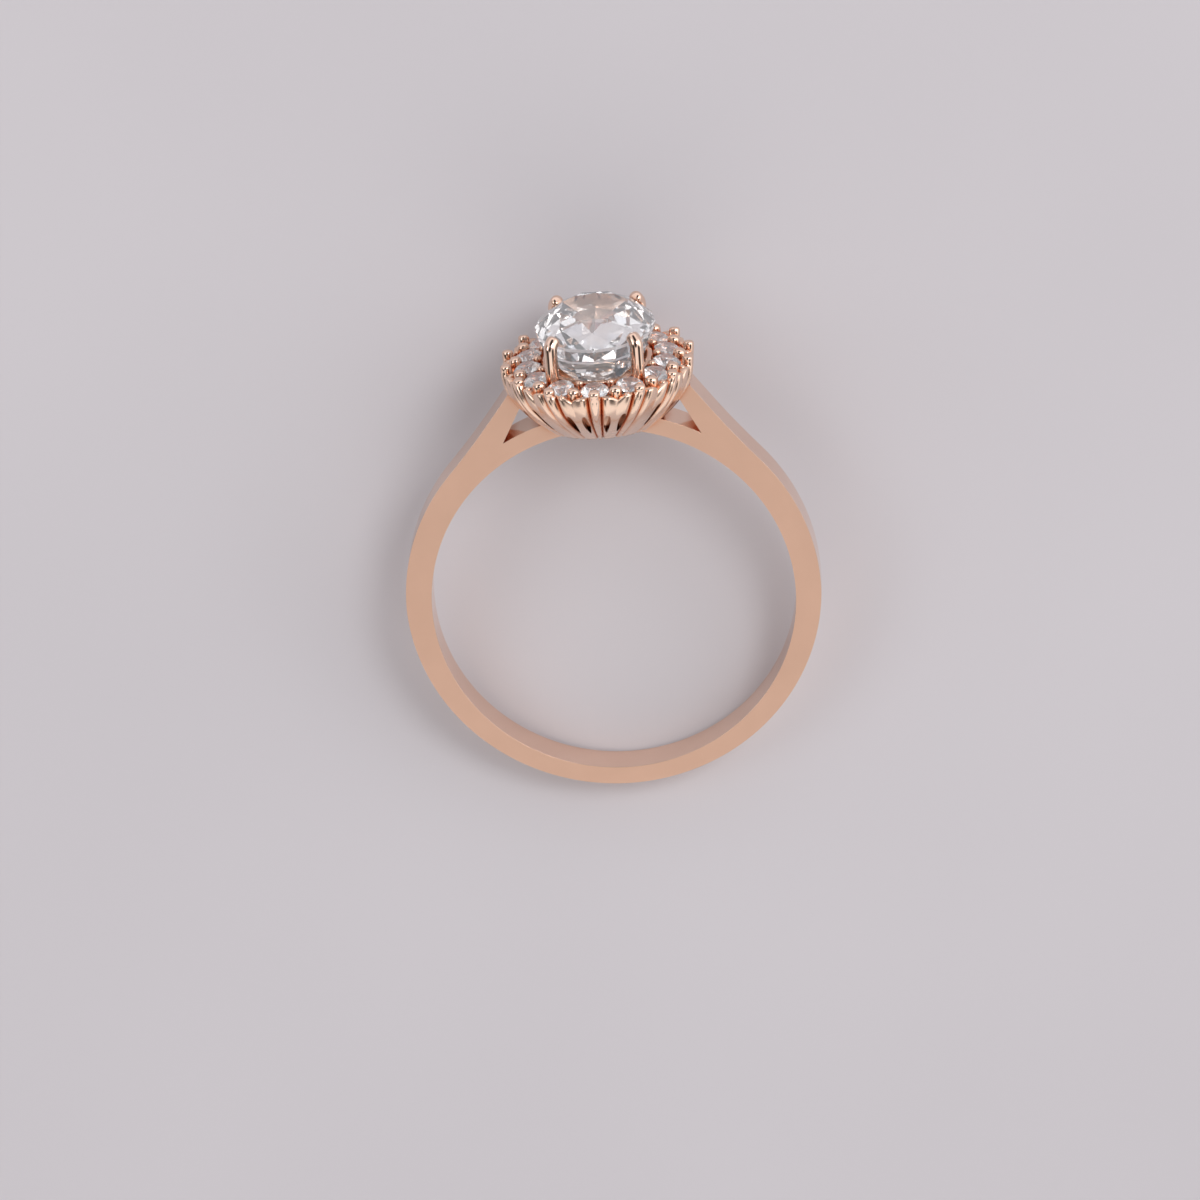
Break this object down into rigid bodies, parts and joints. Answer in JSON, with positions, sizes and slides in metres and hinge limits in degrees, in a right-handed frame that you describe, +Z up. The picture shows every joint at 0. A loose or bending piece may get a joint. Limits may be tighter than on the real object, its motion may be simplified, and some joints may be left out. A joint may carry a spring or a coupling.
{
  "type": "halo ring",
  "caption": "Ring with a large oval stone held by claws, a halo of small round stones and a fluted, pierced basket between open shoulders on a plain band.",
  "frame": {"origin": "on the table, under the middle of the outline of the ring as it lies on its side", "axes": "+Z up from the table, +Y towards the head with the centre stone, +X across the ring; the finger hole's axis leans 12 degrees from +Z towards -Y"},
  "size_m": [0.0188, 0.023, 0.0103],
  "materials": {
    "rose_gold": "polished, with satin side faces on the band",
    "clear_stone": "faceted and polished"
  },
  "bodies": {
    "root": {"setting": "rose_gold", "centre_stone": "clear_stone", "halo_stone_01": "clear_stone", "halo_stone_02": "clear_stone", "halo_stone_03": "clear_stone", "halo_stone_04": "clear_stone", "halo_stone_05": "clear_stone", "halo_stone_06": "clear_stone", "halo_stone_07": "clear_stone", "halo_stone_08": "clear_stone", "halo_stone_09": "clear_stone", "halo_stone_10": "clear_stone", "halo_stone_11": "clear_stone", "halo_stone_12": "clear_stone", "halo_stone_13": "clear_stone", "halo_stone_14": "clear_stone"}
  },
  "joints": []
}
